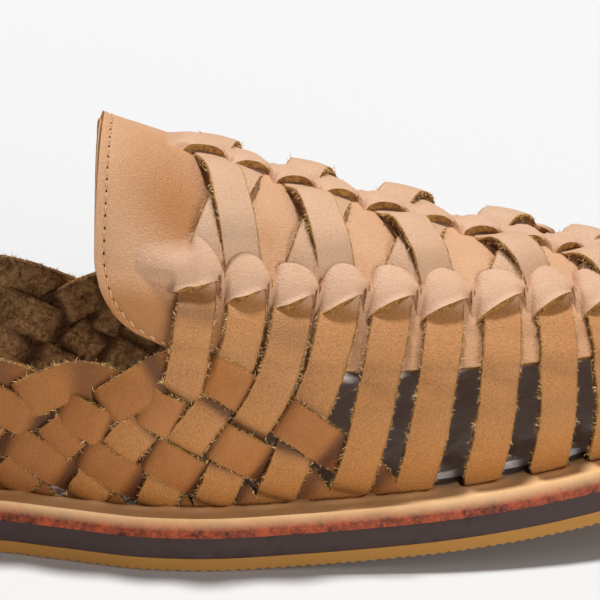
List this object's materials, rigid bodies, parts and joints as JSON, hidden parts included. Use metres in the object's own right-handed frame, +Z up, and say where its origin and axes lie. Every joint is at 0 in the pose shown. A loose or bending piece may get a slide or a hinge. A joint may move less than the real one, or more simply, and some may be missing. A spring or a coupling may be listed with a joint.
{
  "type": "woven leather huarache sandal",
  "caption": "Right slip-on huarache: woven leather strap upper with a smooth vamp panel on a flat sole of leather, dark rubber and gum.",
  "frame": {"origin": "on the floor, under the middle of the shoe's footprint", "axes": "+X towards the toe, +Z up, -Y towards the outer side of the foot"},
  "size_m": [0.285, 0.0994, 0.0903],
  "materials": {
    "gum_rubber": "yellow-brown gum rubber, slightly see-through, fine serrated lower edge",
    "dark_rubber": "dark brown matt rubber with a fine grain",
    "base_leather": "smooth tan leather with a mottled orange-brown raw edge",
    "suede": "taupe grey suede, flattened nap",
    "strap_leather": "tan vegetable-dressed leather, soft satin, golden raw fuzzy edges, brown flesh side"
  },
  "bodies": {
    "root": {"outsole": "gum_rubber", "midsole": "dark_rubber", "leather_base": "base_leather", "insole": "suede", "upper": "strap_leather"}
  },
  "joints": []
}
